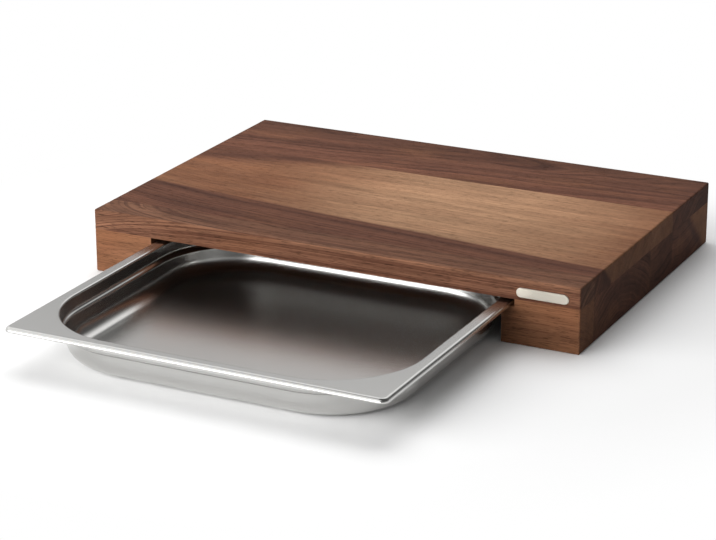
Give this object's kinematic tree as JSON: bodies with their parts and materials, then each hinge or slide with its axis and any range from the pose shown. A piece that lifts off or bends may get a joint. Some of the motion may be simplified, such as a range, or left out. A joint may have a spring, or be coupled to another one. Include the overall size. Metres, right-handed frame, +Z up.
{
  "type": "cutting board with a slide-out tray",
  "caption": "Thick edge-glued walnut cutting board on two side rails, with a shallow stainless steel tray that slides out on ledges under the panel.",
  "frame": {"origin": "centre of the footprint on the table, with the tray pulled out as it rests in the picture", "axes": "+X along the grain to the right, +Y from the open tray towards the board's back, +Z up"},
  "size_m": [0.48, 0.5674, 0.06],
  "materials": {
    "walnut": "fine sanded and oiled, satin",
    "steel": "smooth satin stainless steel",
    "plate": "bright fine-grained metal"
  },
  "bodies": {
    "board": {"panel_stave_1": "walnut", "panel_stave_2": "walnut", "panel_stave_3": "walnut", "panel_stave_4": "walnut", "left_rail_stave_1": "walnut", "left_rail_stave_2": "walnut", "left_rail_stave_3": "walnut", "left_rail_stave_4": "walnut", "right_rail_stave_1": "walnut", "right_rail_stave_2": "walnut", "right_rail_stave_3": "walnut", "right_rail_stave_4": "walnut", "name_plate": "plate"},
    "tray": {"tray": "steel"}
  },
  "joints": [
    {"name": "tray_slide", "type": "slide", "parent": "board", "child": "tray", "axis": [0, -1, 0], "range_m": [-0.2425, 0.0825]}
  ]
}
